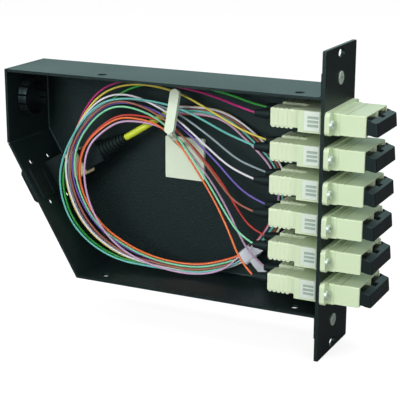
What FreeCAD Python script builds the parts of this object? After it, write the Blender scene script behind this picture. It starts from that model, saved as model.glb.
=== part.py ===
"""Pre-terminated fibre cassette, open side towards -Y, front panel facing +X.

A folded sheet tray carries a 3U front panel with six duplex SC adapters. Twelve SC
plugs on 900 micrometre tubes are mated inside, loop once round the tray and join a
trunk whose multi-fibre plug is held in the slanted rear wall.

Row frame, in millimetres: origin at the centre of the two subrack fixing slots on the
panel's rear face, +X out of the front, +Y towards the tray's back sheet, +Z up.
"""
import FreeCAD, Part
import Sketcher
import math
import os
from FreeCAD import Placement, Rotation, Vector

doc = FreeCAD.newDocument("fibre_cassette")
dims = doc.addObject("Spreadsheet::Sheet", "dims")

DIMENSIONS = {
    # front panel: 3U high, 7 HP wide
    "panel_height": 128.4, "panel_width": 35.3, "panel_thick": 1.5, "panel_corner": 0.8,
    "fixing_spacing": 122.5, "fixing_slot_radius": 1.6, "fixing_slot_length": 6.8,
    # tray, folded from one sheet
    "sheet": 1.2, "tray_length": 148.4, "tray_top": 45.8, "tray_near": -16.1, "tray_far": 17.6,
    "side_wall_foot": 12.9, "slant_foot": 114.1, "fold_outer": 2.0, "fold_inner": 0.8,
    "flange_height": 9.2, "flange_screw_height": 51.3, "seam_gap": 0.3,
    "cover_hole_radius": 2.0, "cover_hole_depth": 6.4, "cover_hole_left": 102.5, "cover_hole_right": 12.0,
    # tray openings
    "plug_hole_radius": 9.3, "plug_hole_height": 31.0, "plug_hole_across": 0.75,
    "port_along": 22.2, "port_near": -8.2, "port_far": 6.0, "port_tall": 15.0, "port_wide": 10.2,
    "blank_proud": 2.8, "trunk_adapter_out": 11.0, "trunk_adapter_in": 11.3, "trunk_boot_tip": 43.0,
    "port_screw_spacing": 20.0, "port_screw_radius": 1.2,
    # duplex adapters
    "row_pitch": 14.06, "adapter_width": 26.4, "adapter_top": 4.35, "adapter_low": 4.55, "adapter_rear": 11.2,
    "adapter_front": 17.0, "shell_step": 6.3, "shell_draft": 0.2, "shell_round": 0.45,
    "flange_width": 35.0, "flange_top": 5.05, "flange_low": 4.35, "flange_thick": 2.1, "flange_corner": 1.8,
    "port_pitch": 12.7, "port_width": 9.2, "port_height": 7.5, "web_middle": 2.9, "web_thick": 2.0,
    "hub_radius": 2.2, "hub_length": 5.0, "sleeve_radius": 1.6, "sleeve_bore": 1.26, "sleeve_length": 11.4,
    "keyway_width": 4.2, "keyway_depth": 0.5, "lead_in": 1.1, "ear_screw_spacing": 31.1,
    "cutout_width": 26.8, "cutout_play": 0.15,
    # simplex plugs
    "grip_rear": 24.0, "grip_front": 1.0, "grip_width": 8.9, "grip_height": 7.36,
    "wave_radius": 0.95, "wave_pitch": 1.95, "wave_proud": 0.6, "wave_count": 5, "rib_proud": 0.14,
    "frame_width": 6.6, "frame_height": 5.2, "ferrule_radius": 1.25,
    "boot_tip": 32.4, "boot_radius": 2.3, "boot_tip_radius": 1.5, "boot_neck": 1.8,
    "grip_travel": 1.2,
    # dust caps
    "cap_width": 25.2, "cap_rear": 17.3, "cap_front": 21.9, "cap_shoulder": 18.5, "cap_top": 2.45,
    "cap_brow": 1.6, "cap_lip": 4.0, "cap_cheek": 2.9, "cap_round": 0.3, "cap_corner": 1.0,
    "cap_notch_front": 20.1, "cap_notch_half": 2.1, "cap_notch_floor": 0.4,
    "cap_stem_width": 7.8, "cap_stem_tall": 5.4, "cap_stem_drop": 0.6, "cap_stem_end": 10.0,
    # cords
    "tube_radius": 0.45, "trunk_radius": 1.5,
}

for number, (alias, amount) in enumerate(DIMENSIONS.items(), start=1):
    dims.set("A%d" % number, alias)
    dims.set("B%d" % number, str(amount))
    dims.setAlias("B%d" % number, alias)
doc.recompute()

D = DIMENSIONS
ROWS = 6
SIDES = (("near", -1), ("far", 1))
SLANT = math.degrees(math.atan2(D["tray_length"] - D["slant_foot"], D["side_wall_foot"] + D["tray_top"]))
parts = []


# ---- document helpers ----

def number_of(expression):
    """Value of a spreadsheet expression."""
    return float(dims.evalExpression(expression))


def new_body(label, x="0", y="0", z="0", tilt=0.0):
    """Body whose origin is bound to the sheet, turned by tilt degrees about +Y."""
    body = doc.addObject("PartDesign::Body", label)
    body.Label = label
    body.Placement = Placement(Vector(0, 0, 0), Rotation(Vector(0, 1, 0), tilt))
    for axis, expression in (("x", x), ("y", y), ("z", z)):
        body.setExpression("Placement.Base." + axis, expression)
    parts.append(body)
    return body


def origin_plane(body, role):
    return [item for item in body.Origin.OriginFeatures if item.Role == role][0]


def new_sketch(body, name, role, level="0"):
    """Sketch on one of the body's own planes, shifted by level along the plane's normal."""
    sketch = body.newObject("Sketcher::SketchObject", body.Label + "_" + name)
    sketch.AttachmentSupport = [(origin_plane(body, role), "")]
    sketch.MapMode = "FlatFace"
    sketch.setExpression("AttachmentOffset.Base.z", level)
    return sketch


def bind(sketch, kind, first, position, amount, expression):
    """Dimension from the sketch origin to a point, driven by an expression."""
    index = sketch.addConstraint(Sketcher.Constraint(kind, -1, 1, first, position, amount))
    sketch.setExpression("Constraints[%d]" % index, expression)


def outline(sketch, corners):
    """Closed polygon through corners given as pairs of expressions."""
    points = [Vector(number_of(across), number_of(up), 0) for across, up in corners]
    count = len(points)
    edges = [Part.LineSegment(points[i], points[(i + 1) % count]) for i in range(count)]
    first = sketch.addGeometry(edges, False)[0]
    for i in range(count):
        sketch.addConstraint(Sketcher.Constraint("Coincident", first + i, 2, first + (i + 1) % count, 1))
    for i, (across, up) in enumerate(corners):
        bind(sketch, "DistanceX", first + i, 1, points[i].x, across)
        bind(sketch, "DistanceY", first + i, 1, points[i].y, up)


def rectangle(sketch, left, right, low, high):
    outline(sketch, [(left, low), (right, low), (right, high), (left, high)])


def centred(sketch, width, height, across="0", up="0"):
    rectangle(sketch, "%s - (%s) / 2" % (across, width), "%s + (%s) / 2" % (across, width),
              "%s - (%s) / 2" % (up, height), "%s + (%s) / 2" % (up, height))


def circle(sketch, radius, across="0", up="0"):
    centre = Vector(number_of(across), number_of(up), 0)
    index = sketch.addGeometry(Part.Circle(centre, Vector(0, 0, 1), number_of(radius)), False)
    bind(sketch, "DistanceX", index, 3, centre.x, across)
    bind(sketch, "DistanceY", index, 3, centre.y, up)
    size = sketch.addConstraint(Sketcher.Constraint("Radius", index, number_of(radius)))
    sketch.setExpression("Constraints[%d]" % size, radius)


def oblong(sketch, length, radius, across="0", up="0"):
    """Round-ended slot along the sketch's first axis, of an end-to-end length."""
    size = number_of(radius)
    half = number_of(length) / 2 - size
    middle = Vector(number_of(across), number_of(up), 0)
    right, left, rise = middle + Vector(half, 0, 0), middle - Vector(half, 0, 0), Vector(0, size, 0)
    first = sketch.addGeometry([
        Part.LineSegment(left - rise, right - rise),
        Part.ArcOfCircle(Part.Circle(right, Vector(0, 0, 1), size), -math.pi / 2, math.pi / 2),
        Part.LineSegment(right + rise, left + rise),
        Part.ArcOfCircle(Part.Circle(left, Vector(0, 0, 1), size), math.pi / 2, 3 * math.pi / 2)], False)[0]
    for i in range(4):
        sketch.addConstraint(Sketcher.Constraint("Tangent", first + i, 2, first + (i + 1) % 4, 1))
    for arc, centre, sign in ((first + 1, right, "+"), (first + 3, left, "-")):
        bind(sketch, "DistanceX", arc, 3, centre.x, "%s %s ((%s) / 2 - %s)" % (across, sign, length, radius))
        bind(sketch, "DistanceY", arc, 3, centre.y, up)
        reach = sketch.addConstraint(Sketcher.Constraint("Radius", arc, size))
        sketch.setExpression("Constraints[%d]" % reach, radius)


def settle(feature):
    """Recompute and stop at a feature that fails."""
    doc.recompute()
    if "Invalid" in feature.State or feature.Shape.isNull():
        raise RuntimeError(feature.Label + " fails: " + feature.getStatusString())
    return feature


def grow(body, sketch, length, reverse=False, symmetric=False):
    """Pad of a sketch along its normal."""
    pad = body.newObject("PartDesign::Pad", sketch.Label + "_pad")
    pad.Profile = sketch
    pad.setExpression("Length", length)
    pad.Reversed = reverse
    pad.SideType = "Symmetric" if symmetric else "One side"
    return settle(pad)


def cut(body, sketch, length, reverse=False, symmetric=False):
    """Pocket against the sketch's normal, checked to have removed material."""
    before = body.Shape.Volume
    pocket = body.newObject("PartDesign::Pocket", sketch.Label + "_pocket")
    pocket.Profile = sketch
    pocket.setExpression("Length", length)
    pocket.Reversed = reverse
    pocket.SideType = "Symmetric" if symmetric else "One side"
    settle(pocket)
    if not body.Shape.Volume < before - 1e-6:
        raise RuntimeError(pocket.Label + " cuts nothing")
    return pocket


def revolve(body, sketch, axis="H_Axis"):
    turned = body.newObject("PartDesign::Revolution", sketch.Label + "_turned")
    turned.Profile = sketch
    turned.ReferenceAxis = (sketch, [axis])
    turned.Angle = 360
    return settle(turned)


def edges_where(feature, test):
    names = ["Edge%d" % (i + 1) for i, edge in enumerate(feature.Shape.Edges) if test(edge)]
    if not names:
        raise RuntimeError("no edge to blend on " + feature.Label)
    return names


def blend(body, feature, radius, test, kind="PartDesign::Fillet"):
    """Fillet or chamfer of the edges that pass the test."""
    item = body.newObject(kind, feature.Label + "_blend")
    item.Base = (feature, edges_where(feature, test))
    item.setExpression("Radius" if kind.endswith("Fillet") else "Size", radius)
    return settle(item)


def along(edge, axis):
    """True for a straight edge parallel to axis, 0 for X, 1 for Y and 2 for Z."""
    if edge.Curve.TypeId != "Part::GeomLine":
        return False
    direction = edge.Curve.Direction
    return abs(abs(direction[axis]) - 1) < 1e-6


def close(value, target, room=0.02):
    return abs(value - target) < room


def repeat(body, features, steps):
    """Multi-transform of features; each step is a spacing along an axis or a mirror."""
    item = body.newObject("PartDesign::MultiTransform", body.Label + "_repeat")
    item.Originals = features
    moves = []
    for step in steps:
        if step[0] == "mirror":
            move = body.newObject("PartDesign::Mirrored", body.Label + "_mirror")
            move.MirrorPlane = (origin_plane(body, step[1]), [""])
        elif step[0] == "turn":
            move = body.newObject("PartDesign::PolarPattern", body.Label + "_turn")
            move.Axis = (origin_plane(body, step[1]), [""])
            move.Angle = 360
            move.Occurrences = step[2]
        else:
            move = body.newObject("PartDesign::LinearPattern", body.Label + "_line")
            move.Direction = (origin_plane(body, step[1]), [""])
            move.Occurrences = step[2]
            move.setExpression("Length", step[3])
        moves.append(move)
    item.Transformations = moves
    body.Tip = item
    return settle(item)


# ---- sheet metal ----

def make_tray():
    """Five-sided tray folded from one sheet, with flanges that carry the panel."""
    body = new_body("tray")
    face = new_sketch(body, "face", "XZ_Plane", "-dims.tray_far")
    outline(face, [("0", "-dims.tray_top"), ("0", "dims.tray_top"), ("-dims.tray_length", "dims.tray_top"),
                   ("-dims.tray_length", "dims.side_wall_foot"), ("-dims.slant_foot", "-dims.tray_top")])
    block = grow(body, face, "dims.tray_far - dims.tray_near")
    open_faces = ["Face%d" % (i + 1) for i, side in enumerate(block.Shape.Faces)
                  if close(side.CenterOfMass.y, D["tray_near"]) or close(side.CenterOfMass.x, 0)]
    shell = body.newObject("PartDesign::Thickness", "tray_shell")
    shell.Base = (block, open_faces)
    shell.setExpression("Value", "dims.sheet")
    shell.Reversed = True
    shell.Mode = "Skin"
    shell.Join = "Intersection"
    settle(shell)
    inner = D["tray_far"] - D["sheet"]
    bends = blend(body, shell, "dims.fold_inner",
                  lambda e: close(e.CenterOfMass.y, inner) and not close(e.CenterOfMass.x, 0))
    bends = blend(body, bends, "dims.fold_outer",
                  lambda e: close(e.CenterOfMass.y, D["tray_far"]) and not close(e.CenterOfMass.x, 0))

    # flanges turned outwards behind the panel
    ends = new_sketch(body, "flanges", "YZ_Plane")
    for low, high in (("dims.tray_top - dims.sheet", "dims.tray_top + dims.flange_height"),
                      ("-dims.tray_top - dims.flange_height", "-dims.tray_top + dims.sheet")):
        rectangle(ends, "dims.tray_near + 0.8", "dims.tray_far - 2.4", low, high)
    lips = grow(body, ends, "dims.sheet", reverse=True)
    lips = blend(body, lips, "dims.fold_inner",
                 lambda e: along(e, 1) and close(e.CenterOfMass.x, -D["sheet"])
                 and close(abs(e.CenterOfMass.z), D["tray_top"]))
    blend(body, lips, "dims.sheet - 0.1",
          lambda e: along(e, 1) and close(e.CenterOfMass.x, 0)
          and close(abs(e.CenterOfMass.z), D["tray_top"] - D["sheet"]))

    # open corners where the turned-up walls meet
    seams = new_sketch(body, "seams", "XZ_Plane", "-dims.tray_near")
    reach = D["sheet"] * math.tan(math.radians(SLANT / 2))
    corner = ("-dims.tray_length + dims.sheet", "dims.tray_top - dims.sheet - 0.5")
    rectangle(seams, corner[0], corner[0] + " + dims.seam_gap", corner[1], "dims.tray_top + 0.5")
    rectangle(seams, "-dims.tray_length - 0.5", "-dims.tray_length + dims.sheet + 0.4",
              "dims.side_wall_foot - %.3f - dims.seam_gap" % reach, "dims.side_wall_foot - %.3f" % reach)
    rectangle(seams, "-dims.slant_foot - 1.2", "-dims.slant_foot - 1.2 + dims.seam_gap",
              "-dims.tray_top - 0.5", "-dims.tray_top + dims.sheet + 0.6")
    cut(body, seams, "dims.tray_far - dims.tray_near - 3.2")

    # holes for the cover screws, flange screws, hole plug and the two ports
    for sign in (1, -1):
        rim = new_sketch(body, "cover_holes", "XY_Plane", "%d * dims.tray_top" % sign)
        for place in ("dims.cover_hole_left", "dims.cover_hole_right"):
            circle(rim, "dims.cover_hole_radius", "-" + place, "dims.tray_near + dims.cover_hole_depth")
        cut(body, rim, "2 * dims.sheet + 1", symmetric=True)
    nuts = new_sketch(body, "nut_holes", "YZ_Plane")
    circle(nuts, "2.1", "0", "dims.flange_screw_height")
    circle(nuts, "2.1", "0", "-dims.flange_screw_height")
    cut(body, nuts, "4 * dims.sheet", symmetric=True)
    gland = new_sketch(body, "gland_hole", "YZ_Plane", "-dims.tray_length")
    circle(gland, "dims.plug_hole_radius", "dims.plug_hole_across", "dims.plug_hole_height")
    cut(body, gland, "3 * dims.sheet", symmetric=True)
    ports = body.newObject("Sketcher::SketchObject", "tray_ports")
    ports.AttachmentSupport = [(origin_plane(body, "YZ_Plane"), "")]
    ports.MapMode = "FlatFace"
    middle = port_point(0)
    ports.AttachmentOffset = Placement(Vector(0, middle.z, middle.x), Rotation(Vector(1, 0, 0), -SLANT))
    for place in ("dims.port_near", "dims.port_far"):
        centred(ports, "dims.port_wide", "dims.port_tall", place)
        for sign in ("", "-"):
            circle(ports, "dims.port_screw_radius", place, sign + "dims.port_screw_spacing / 2")
    cut(body, ports, "4 * dims.sheet", symmetric=True)


def port_point(inwards, across=0.0):
    """Point on the axis of the ports in the slanted wall, inwards from its outer face."""
    down = math.radians(SLANT)
    x = -D["tray_length"] + D["port_along"] * math.sin(down) + inwards * math.cos(down)
    z = D["side_wall_foot"] - D["port_along"] * math.cos(down) + inwards * math.sin(down)
    return Vector(x, across, z)


def make_panel():
    """Flat 3U panel with six adapter cut-outs and its screw holes."""
    body = new_body("front_panel")
    face = new_sketch(body, "face", "YZ_Plane")
    centred(face, "dims.panel_width", "dims.panel_height")
    plate = grow(body, face, "dims.panel_thick")
    blend(body, plate, "dims.panel_corner", lambda e: along(e, 0))
    window = new_sketch(body, "window", "YZ_Plane", "dims.panel_thick")
    lowest = "-2.5 * dims.row_pitch"
    rectangle(window, "-dims.cutout_width / 2", "dims.cutout_width / 2",
              lowest + " - dims.adapter_low - dims.cutout_play",
              lowest + " + dims.adapter_top + dims.cutout_play")
    opening = cut(body, window, "dims.panel_thick")
    ears = new_sketch(body, "ears", "YZ_Plane", "dims.panel_thick")
    for sign in ("", "-"):
        circle(ears, "1.0", sign + "dims.ear_screw_spacing / 2", lowest)
    threads = cut(body, ears, "dims.panel_thick")
    repeat(body, [opening, threads], [("line", "XY_Plane", ROWS, "5 * dims.row_pitch")])
    fixing = new_sketch(body, "fixing", "YZ_Plane", "dims.panel_thick")
    for sign in ("", "-"):
        oblong(fixing, "dims.fixing_slot_length", "dims.fixing_slot_radius", "0",
               sign + "dims.fixing_spacing / 2")
        circle(fixing, "1.7", "0", sign + "dims.flange_screw_height")
    cut(body, fixing, "dims.panel_thick")


# ---- fasteners ----

def make_screws(label, place, head_radius, head_height, shank_radius, shank_end, seat, recess_depth, steps):
    """Screws with a cross recess in a round head, seated at x = seat and repeated by steps."""
    body = new_body(label)
    across, up = place
    shank = new_sketch(body, "shank", "YZ_Plane", shank_end)
    circle(shank, shank_radius, across, up)
    rod = grow(body, shank, "%s - (%s)" % (seat, shank_end))
    top = new_sketch(body, "head", "YZ_Plane", seat)
    circle(top, head_radius, across, up)
    head = grow(body, top, head_height)
    crown = number_of("%s + %s" % (seat, head_height))
    blended = blend(body, head, "0.45 * %s" % head_height,
                    lambda e: close(e.CenterOfMass.x, crown) and e.Curve.TypeId == "Part::GeomCircle")
    recess = new_sketch(body, "recess", "YZ_Plane", "%s + %s" % (seat, head_height))
    arm = "0.5 * %s" % head_radius
    slot = "0.13 * %s" % head_radius
    outline(recess, [(sign_a + " + " + across, sign_b + " + " + up) for sign_a, sign_b in (
        ("-" + slot, "-" + arm), (slot, "-" + arm), (slot, "-" + slot), (arm, "-" + slot),
        (arm, slot), (slot, slot), (slot, arm), ("-" + slot, arm),
        ("-" + slot, slot), ("-" + arm, slot), ("-" + arm, "-" + slot), ("-" + slot, "-" + slot))])
    cross = cut(body, recess, recess_depth)
    repeat(body, [rod, head, blended, cross], steps)


def make_clinch_nuts():
    """Round nuts pressed into the tray's flanges behind the panel."""
    body = new_body("clinch_nuts")
    ring = new_sketch(body, "ring", "YZ_Plane", "-dims.sheet")
    circle(ring, "3.1", "0", "dims.flange_screw_height")
    circle(ring, "1.55", "0", "dims.flange_screw_height")
    collar = grow(body, ring, "2.0", reverse=True)
    neck = new_sketch(body, "neck", "YZ_Plane", "-dims.sheet")
    circle(neck, "2.1", "0", "dims.flange_screw_height")
    circle(neck, "1.55", "0", "dims.flange_screw_height")
    spigot = grow(body, neck, "dims.sheet - 0.1")
    repeat(body, [collar, spigot], [("mirror", "XY_Plane")])


# ---- duplex adapters and what they hold ----

def row_height(row):
    """Expression for the height of a row of ports, row 0 at the top."""
    return "%.1f * dims.row_pitch" % (2.5 - row)


def port_outline(sketch, across):
    """Rectangular port with the key slot of an SC plug on its lower side."""
    half = "dims.port_width / 2"
    key = "dims.keyway_width / 2"
    low = "-dims.port_height / 2"
    outline(sketch, [(across + " - " + half, low), (across + " - " + key, low),
                     (across + " - " + key, low + " - dims.keyway_depth"),
                     (across + " + " + key, low + " - dims.keyway_depth"),
                     (across + " + " + key, low), (across + " + " + half, low),
                     (across + " + " + half, "dims.port_height / 2"),
                     (across + " - " + half, "dims.port_height / 2")])


def make_adapter(row):
    """Duplex adapter: two through ports with a hub each, and ears on the panel."""
    body = new_body("adapter_%d" % (row + 1), z=row_height(row))
    half = "dims.adapter_width / 2"
    rear = new_sketch(body, "rear", "YZ_Plane", "-dims.adapter_rear")
    rectangle(rear, "-" + half, half, "-dims.adapter_low", "dims.adapter_top")
    grow(body, rear, "dims.adapter_rear + dims.shell_step")
    front = new_sketch(body, "front", "YZ_Plane", "dims.shell_step")
    rectangle(front, "-%s + dims.shell_draft" % half, half + " - dims.shell_draft",
              "-dims.adapter_low + dims.shell_draft", "dims.adapter_top - dims.shell_draft")
    shell = grow(body, front, "dims.adapter_front - dims.shell_step")
    shell = blend(body, shell, "dims.shell_round", lambda e: along(e, 0) and e.CenterOfMass.z > 4
                  or (along(e, 1) or along(e, 2)) and close(e.CenterOfMass.x, D["adapter_front"]))
    ears = new_sketch(body, "ears", "YZ_Plane", "dims.panel_thick")
    rectangle(ears, "-dims.flange_width / 2", "dims.flange_width / 2", "-dims.flange_low", "dims.flange_top")
    flange = grow(body, ears, "dims.flange_thick")
    blend(body, flange, "dims.flange_corner",
          lambda e: close(abs(e.CenterOfMass.y), D["flange_width"] / 2) and along(e, 0))
    depth = "dims.adapter_front - dims.web_middle - dims.web_thick / 2"
    for level, reverse in (("dims.adapter_front", False), ("-dims.adapter_rear", True)):
        mouth = new_sketch(body, "mouth", "YZ_Plane", level)
        for side in ("-", ""):
            port_outline(mouth, side + "dims.port_pitch / 2")
        cut(body, mouth, depth, reverse=reverse)
    lead = new_sketch(body, "lead_in", "YZ_Plane", "dims.adapter_front")
    for side in ("-", ""):
        centred(lead, "dims.port_width + dims.lead_in", "dims.port_height",
                "%s(dims.port_pitch + dims.lead_in) / 2" % side)
    cut(body, lead, "1.2")
    hubs = new_sketch(body, "hubs", "YZ_Plane", "dims.web_middle")
    bores = new_sketch(body, "bores", "YZ_Plane", "dims.web_middle")
    for side in ("-", ""):
        circle(hubs, "dims.hub_radius", side + "dims.port_pitch / 2")
        circle(bores, "dims.sleeve_radius + 0.05", side + "dims.port_pitch / 2")
    grow(body, hubs, "2 * dims.hub_length + dims.web_thick", symmetric=True)
    holes = new_sketch(body, "holes", "YZ_Plane", "dims.panel_thick")
    for side in ("-", ""):
        circle(holes, "1.15", side + "dims.ear_screw_spacing / 2")
    cut(body, holes, "4 * dims.flange_thick", symmetric=True)
    cut(body, bores, "3 * dims.hub_length", symmetric=True)


def make_adapter_clips():
    """Sheet springs set on the outer sides of the adapters' rear halves."""
    body = new_body("adapter_clips")
    lowest = "-2.5 * dims.row_pitch"
    sheet = new_sketch(body, "sheet", "XZ_Plane", "dims.adapter_width / 2")
    rectangle(sheet, "-8.5", "-1.9", lowest + " - 3.65", lowest + " + 4.25")
    strip = grow(body, sheet, "0.12")
    frame = new_sketch(body, "frame", "XZ_Plane", "dims.adapter_width / 2 + 0.12")
    rectangle(frame, "-8.5", "-1.9", lowest + " - 3.65", lowest + " + 4.25")
    for low in (-2.1, -0.45, 1.2):
        rectangle(frame, "-7.0", "-2.4", lowest + " + %.2f" % low, lowest + " + %.2f" % (low + 1.1))
    bars = grow(body, frame, "0.24")
    repeat(body, [strip, bars], [("line", "XY_Plane", ROWS, "5 * dims.row_pitch"), ("mirror", "XZ_Plane")])


def group_of_twelve(label):
    """Body for a round piece that repeats in every port, drawn on the near port's axis."""
    body = new_body(label)
    profile = new_sketch(body, "profile", "XY_Plane", "-2.5 * dims.row_pitch")
    return body, profile


def spread(body, profile):
    """Turn a profile about its port's axis and repeat it over rows and sides."""
    axis = profile.addGeometry(Part.LineSegment(
        Vector(-40, -D["port_pitch"] / 2, 0), Vector(20, -D["port_pitch"] / 2, 0)), True)
    for position in (1, 2):
        bind(profile, "DistanceY", axis, position, -D["port_pitch"] / 2, "-dims.port_pitch / 2")
    turned = revolve(body, profile, "Axis0")
    repeat(body, [turned], [("line", "XY_Plane", ROWS, "5 * dims.row_pitch"), ("mirror", "XZ_Plane")])


def ring_profile(sketch, stations):
    """Half profile from (x, inner radius, outer radius) stations about the near port's axis."""
    axis = "-dims.port_pitch / 2"
    outer = [(x, "%s + %s" % (axis, big)) for x, small, big in stations]
    inner = [(x, "%s + %s" % (axis, small)) for x, small, big in reversed(stations)]
    outline(sketch, outer + inner)


def make_sleeves():
    body, profile = group_of_twelve("alignment_sleeves")
    half = "dims.sleeve_length / 2"
    ring_profile(profile, [("dims.web_middle - " + half, "dims.sleeve_bore", "dims.sleeve_radius"),
                           ("dims.web_middle + " + half, "dims.sleeve_bore", "dims.sleeve_radius")])
    spread(body, profile)


def make_ferrules():
    body, profile = group_of_twelve("ferrules")
    ring_profile(profile, [("-9", "0.2", "dims.ferrule_radius"),
                           ("dims.web_middle - 0.5", "0.2", "dims.ferrule_radius"),
                           ("dims.web_middle - 0.05", "0.2", "dims.ferrule_radius - 0.35")])
    spread(body, profile)


def make_plug_frames():
    """Inner plug bodies, open at the front round the ferrule."""
    body = new_body("plug_frames")
    block = new_sketch(body, "block", "YZ_Plane", "-18")
    centred(block, "dims.frame_width", "dims.frame_height", "-dims.port_pitch / 2", "-2.5 * dims.row_pitch")
    frame = grow(body, block, "17")
    bore = new_sketch(body, "bore", "YZ_Plane", "-1")
    circle(bore, "dims.hub_radius + 0.15", "-dims.port_pitch / 2", "-2.5 * dims.row_pitch")
    hollow = cut(body, bore, "8")
    repeat(body, [frame, hollow], [("line", "XY_Plane", ROWS, "5 * dims.row_pitch"), ("mirror", "XZ_Plane")])


def make_boots(side, sign):
    """Tapered strain reliefs behind one column of plugs."""
    body = new_body("plug_boots_" + side)
    profile = new_sketch(body, "profile", "XY_Plane", "-2.5 * dims.row_pitch")
    axis = "%d * dims.port_pitch / 2" % sign
    stations = [("-18", "dims.boot_neck"), ("-dims.grip_rear - dims.grip_travel - 0.3", "dims.boot_neck"),
                ("-dims.grip_rear - dims.grip_travel - 0.3", "dims.boot_radius"),
                ("-dims.grip_rear - 3.4", "dims.boot_radius - 0.1"),
                ("-dims.boot_tip", "dims.boot_tip_radius")]
    outline(profile, [("-dims.boot_tip", axis), ("-18", axis)]
            + [(x, "%s + %s" % (axis, radius)) for x, radius in stations])
    height = sign * D["port_pitch"] / 2
    line = profile.addGeometry(Part.LineSegment(Vector(-40, height, 0), Vector(20, height, 0)), True)
    for position in (1, 2):
        bind(profile, "DistanceY", line, position, height, axis)
    turned = revolve(body, profile, "Axis0")
    repeat(body, [turned], [("line", "XY_Plane", ROWS, "5 * dims.row_pitch")])


def make_grip(row, side, sign):
    """Push-pull outer housing of one SC plug, waved at its rear and keyed below."""
    body = new_body("plug_grip_%d_%s" % (row + 1, side), y="%d * dims.port_pitch / 2" % sign,
                    z=row_height(row))
    block = new_sketch(body, "block", "YZ_Plane", "-dims.grip_rear")
    centred(block, "dims.grip_width", "dims.grip_height")
    housing = grow(body, block, "dims.grip_rear + dims.grip_front")
    blend(body, housing, "0.5", lambda e: along(e, 0))
    rear = "-dims.grip_rear + dims.wave_radius + 0.1"
    waves = new_sketch(body, "waves", "XZ_Plane")
    circle(waves, "dims.wave_radius", rear, "-dims.grip_height / 2 - dims.wave_proud + dims.wave_radius")
    circle(waves, "dims.wave_radius", rear, "dims.grip_height / 2 + dims.wave_proud / 3 - dims.wave_radius")
    wave = grow(body, waves, "dims.grip_width - 0.6", symmetric=True)
    band = new_sketch(body, "band", "YZ_Plane", "-dims.grip_rear + 0.6")
    centred(band, "dims.grip_width + 2 * dims.rib_proud", "dims.grip_height - 1.4")
    rib = grow(body, band, "dims.wave_radius")
    ribs = body.newObject("PartDesign::LinearPattern", body.Label + "_ribs")
    ribs.Originals = [wave, rib]
    ribs.Direction = (origin_plane(body, "YZ_Plane"), [""])
    ribs.Occurrences = int(D["wave_count"])
    ribs.setExpression("Length", "(dims.wave_count - 1) * dims.wave_pitch")
    body.Tip = ribs
    settle(ribs)
    key = new_sketch(body, "key", "YZ_Plane", "-dims.adapter_rear - 3")
    rectangle(key, "-1.8", "1.8", "-dims.grip_height / 2 - 0.35", "-dims.grip_height / 2 + 0.1")
    grow(body, key, "dims.adapter_rear + 3 + dims.grip_front")
    cavity = new_sketch(body, "cavity", "YZ_Plane", "dims.grip_front")
    centred(cavity, "dims.frame_width + 0.6", "dims.frame_height + 0.6")
    cut(body, cavity, "dims.grip_front + dims.grip_rear - 2.6")
    mouth = new_sketch(body, "mouth", "YZ_Plane", "dims.grip_front")
    circle(mouth, "dims.boot_neck + 0.3")
    cut(body, mouth, "dims.grip_front + dims.grip_rear + 1")
    window = new_sketch(body, "window", "XZ_Plane")
    rectangle(window, "-8.6", "-5.0", "-1.7", "1.7")
    cut(body, window, "2 * dims.grip_width", symmetric=True)


def make_dust_cap(row):
    """Duplex dust cap: one sloping pull bar with a notch at its middle, on hollow stems."""
    body = new_body("dust_cap_%d" % (row + 1), z=row_height(row))
    half = "dims.cap_width / 2"
    side = new_sketch(body, "side", "XZ_Plane", "-" + half)
    outline(side, [("dims.cap_rear", "dims.cap_top - 0.5"), ("dims.cap_shoulder", "dims.cap_top - 0.5"),
                   ("dims.cap_shoulder", "dims.cap_top"), ("dims.cap_front - 0.5", "dims.cap_brow"),
                   ("dims.cap_front", "-dims.cap_lip"), ("dims.cap_front - 2.25", "-dims.cap_lip + 0.3"),
                   ("dims.cap_rear + 0.3", "-dims.cap_lip + 0.75"), ("dims.cap_rear", "-dims.cap_lip + 0.8")])
    bar = grow(body, side, "dims.cap_width")
    ahead = D["cap_front"] - 0.7
    bar = blend(body, bar, "dims.cap_corner", lambda e: e.CenterOfMass.x > ahead
                and close(abs(e.CenterOfMass.y), D["cap_width"] / 2) and abs(e.CenterOfMass.z) < 8
                and e.Length > 4)
    blend(body, bar, "dims.cap_round", lambda e: e.CenterOfMass.x > ahead and along(e, 1))
    notch = new_sketch(body, "notch", "XY_Plane", "dims.cap_top + 0.5")
    rectangle(notch, "dims.cap_rear - 0.5", "dims.cap_notch_front", "-dims.cap_notch_half", "dims.cap_notch_half")
    cut(body, notch, "dims.cap_top + 0.5 - dims.cap_notch_floor")
    for name, start in (("near", "dims.cap_width / 2"), ("far", "0.7 - dims.cap_width / 2")):
        cheek = new_sketch(body, name + "_cheek", "XZ_Plane", start)
        outline(cheek, [("dims.cap_rear", "0"), ("dims.cap_shoulder + 0.3", "0"),
                        ("dims.cap_shoulder + 0.3", "dims.cap_top - 0.1"), ("dims.cap_rear", "dims.cap_cheek")])
        grow(body, cheek, "0.7", reverse=True)
    stems = new_sketch(body, "stems", "YZ_Plane", "dims.cap_stem_end")
    wells = new_sketch(body, "wells", "YZ_Plane", "dims.cap_stem_end")
    for sign in ("-", ""):
        place = (sign + "dims.port_pitch / 2", "-dims.cap_stem_drop")
        centred(stems, "dims.cap_stem_width", "dims.cap_stem_tall", *place)
        centred(wells, "dims.cap_stem_width - 2", "dims.cap_stem_tall - 2", *place)
    grow(body, stems, "dims.cap_rear - dims.cap_stem_end + 0.3")
    cut(body, wells, "dims.cap_rear - dims.cap_stem_end - 0.7", reverse=True)


# ---- multi-fibre end in the slanted wall ----

def wall_body(label, across):
    """Body in the slanted wall's own frame: +X inwards along the port, Z up the wall."""
    start = port_point(0)
    return new_body(label, x="%.4f" % start.x, y=across, z="%.4f" % start.z, tilt=-SLANT)


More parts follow.
